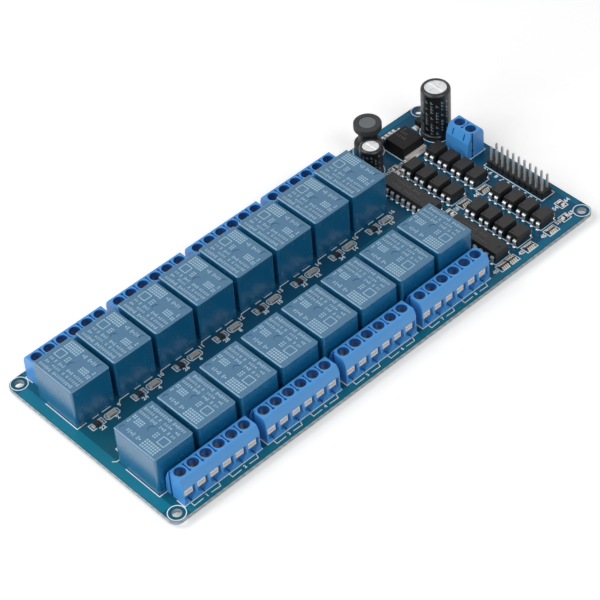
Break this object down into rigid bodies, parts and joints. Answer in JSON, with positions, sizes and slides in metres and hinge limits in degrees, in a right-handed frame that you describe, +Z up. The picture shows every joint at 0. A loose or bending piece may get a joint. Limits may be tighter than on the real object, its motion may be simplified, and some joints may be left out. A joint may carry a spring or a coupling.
{
  "type": "relay module board",
  "caption": "Relay board with two banks of sealed relays, screw terminal rows along both long edges and an isolated control section at one end.",
  "frame": {"origin": "centre of the four mounting holes, on the underside of the board", "axes": "+X along the board towards the control header, +Y across it towards the rear terminal row, +Z up through the components"},
  "size_m": [0.185, 0.081, 0.0236],
  "materials": {
    "board_laminate": "glossy blue-green solder mask over glass-epoxy laminate",
    "relay_cover": "satin moulded plastic",
    "relay_base": "moulded, matt",
    "tinned_lead": "bright tin plating",
    "terminal_housing": "satin moulded polyamide",
    "terminal_clamp": "nickel plated, slightly dull",
    "terminal_screw": "zinc plated",
    "header_body": "moulded, matt",
    "moulded_package": "moulded epoxy, fine matt",
    "capacitor_can": "drawn, bright",
    "capacitor_sleeve": "glossy shrink sleeve with a pale stripe",
    "coil_core": "sintered ferrite, matt, grey on its dished top",
    "coil_winding": "black sleeve over the winding",
    "lamp": "pale lens with metal ends",
    "chip": "ceramic with metal ends"
  },
  "bodies": {
    "root": {"circuit_board": "board_laminate", "relay_cover_01": "relay_cover", "relay_cover_02": "relay_cover", "relay_cover_03": "relay_cover", "relay_cover_04": "relay_cover", "relay_cover_05": "relay_cover", "relay_cover_06": "relay_cover", "relay_cover_07": "relay_cover", "relay_cover_08": "relay_cover", "relay_cover_09": "relay_cover", "relay_cover_10": "relay_cover", "relay_cover_11": "relay_cover", "relay_cover_12": "relay_cover", "relay_cover_13": "relay_cover", "relay_cover_14": "relay_cover", "relay_cover_15": "relay_cover", "relay_cover_16": "relay_cover", "relay_bases_front": "relay_base", "relay_bases_rear": "relay_base", "relay_pins_front": "tinned_lead", "relay_pins_rear": "tinned_lead", "control_header_pins": "tinned_lead", "driver_chip_leads": "tinned_lead", "optocoupler_leads": "tinned_lead", "radial_leads": "tinned_lead", "regulator_leadframe": "tinned_lead", "terminal_housing_01": "terminal_housing", "terminal_housing_02": "terminal_housing", "terminal_housing_03": "terminal_housing", "terminal_housing_04": "terminal_housing", "terminal_housing_05": "terminal_housing", "terminal_housing_06": "terminal_housing", "terminal_housing_07": "terminal_housing", "terminal_housing_08": "terminal_housing", "power_terminal_housing": "terminal_housing", "terminal_clamps_front": "terminal_clamp", "terminal_clamps_rear": "terminal_clamp", "power_terminal_clamps": "terminal_clamp", "terminal_screws": "terminal_screw", "control_header_body": "header_body", "driver_chip_1": "moulded_package", "driver_chip_2": "moulded_package", "optocouplers_1": "moulded_package", "optocouplers_2": "moulded_package", "optocouplers_3": "moulded_package", "optocouplers_4": "moulded_package", "regulator_body": "moulded_package", "input_diode": "moulded_package", "large_capacitor_can": "capacitor_can", "small_capacitor_can": "capacitor_can", "large_capacitor_sleeve": "capacitor_sleeve", "small_capacitor_sleeve": "capacitor_sleeve", "coil_core": "coil_core", "coil_winding": "coil_winding", "channel_lamps": "lamp", "channel_resistors": "chip", "resistor_arrays": "chip", "small_chips": "chip"}
  },
  "joints": []
}
